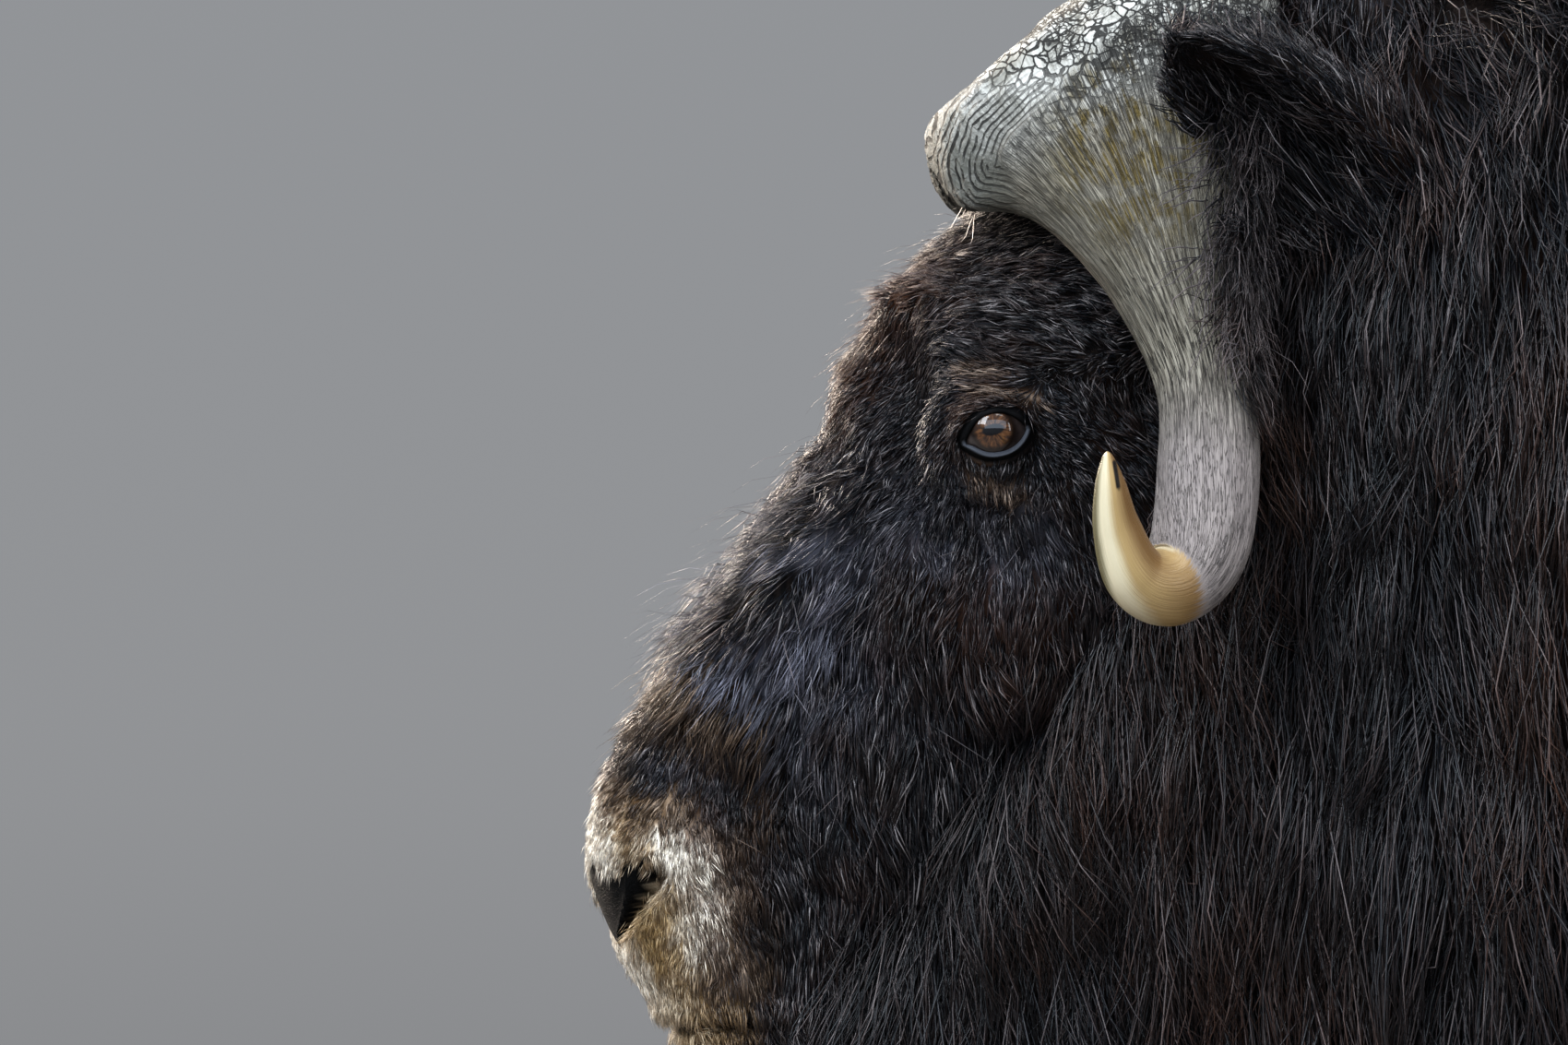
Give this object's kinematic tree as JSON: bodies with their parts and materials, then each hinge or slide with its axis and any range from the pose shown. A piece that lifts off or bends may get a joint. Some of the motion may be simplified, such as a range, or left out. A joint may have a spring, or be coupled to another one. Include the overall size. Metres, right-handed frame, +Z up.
{
  "type": "muskox",
  "caption": "Life-size adult muskox bull standing still, with long hanging coat, broad boss and hooked horns, pale legs and cloven hooves.",
  "frame": {"origin": "on the floor, under the middle of the animal's bounding box", "axes": "+X towards the tail, so the nose points to -X; +Y towards the animal's right side; +Z up"},
  "size_m": [2.2474, 0.862, 1.3775],
  "materials": {
    "coat": "long black-brown hair with grey and reddish strands",
    "saddle": "shorter, paler brown hair on the back",
    "stocking": "short pale hair on the legs",
    "horn": "grey cracked horn with yellow-brown stains and a smoother tip",
    "eye": "wet, dark, with an orange-brown iris",
    "hoof": "dark worn horn"
  },
  "bodies": {
    "root": {"head": "coat", "horn_left": "horn", "horn_right": "horn", "ear_left": "coat", "ear_right": "coat", "eye_left": "eye", "eye_right": "eye", "neck": "coat", "torso": "saddle", "hindquarters": "coat", "shoulder_left": "coat", "shoulder_right": "coat", "flank_left": "coat", "flank_right": "coat", "rump_left": "coat", "rump_right": "coat", "tail": "coat", "foreleg_left": "stocking", "foreleg_left_hoof_inner": "hoof", "foreleg_left_hoof_outer": "hoof", "foreleg_right": "stocking", "foreleg_right_hoof_inner": "hoof", "foreleg_right_hoof_outer": "hoof", "hindleg_left": "stocking", "hindleg_left_hoof_inner": "hoof", "hindleg_left_hoof_outer": "hoof", "hindleg_right": "stocking", "hindleg_right_hoof_inner": "hoof", "hindleg_right_hoof_outer": "hoof"}
  },
  "joints": []
}
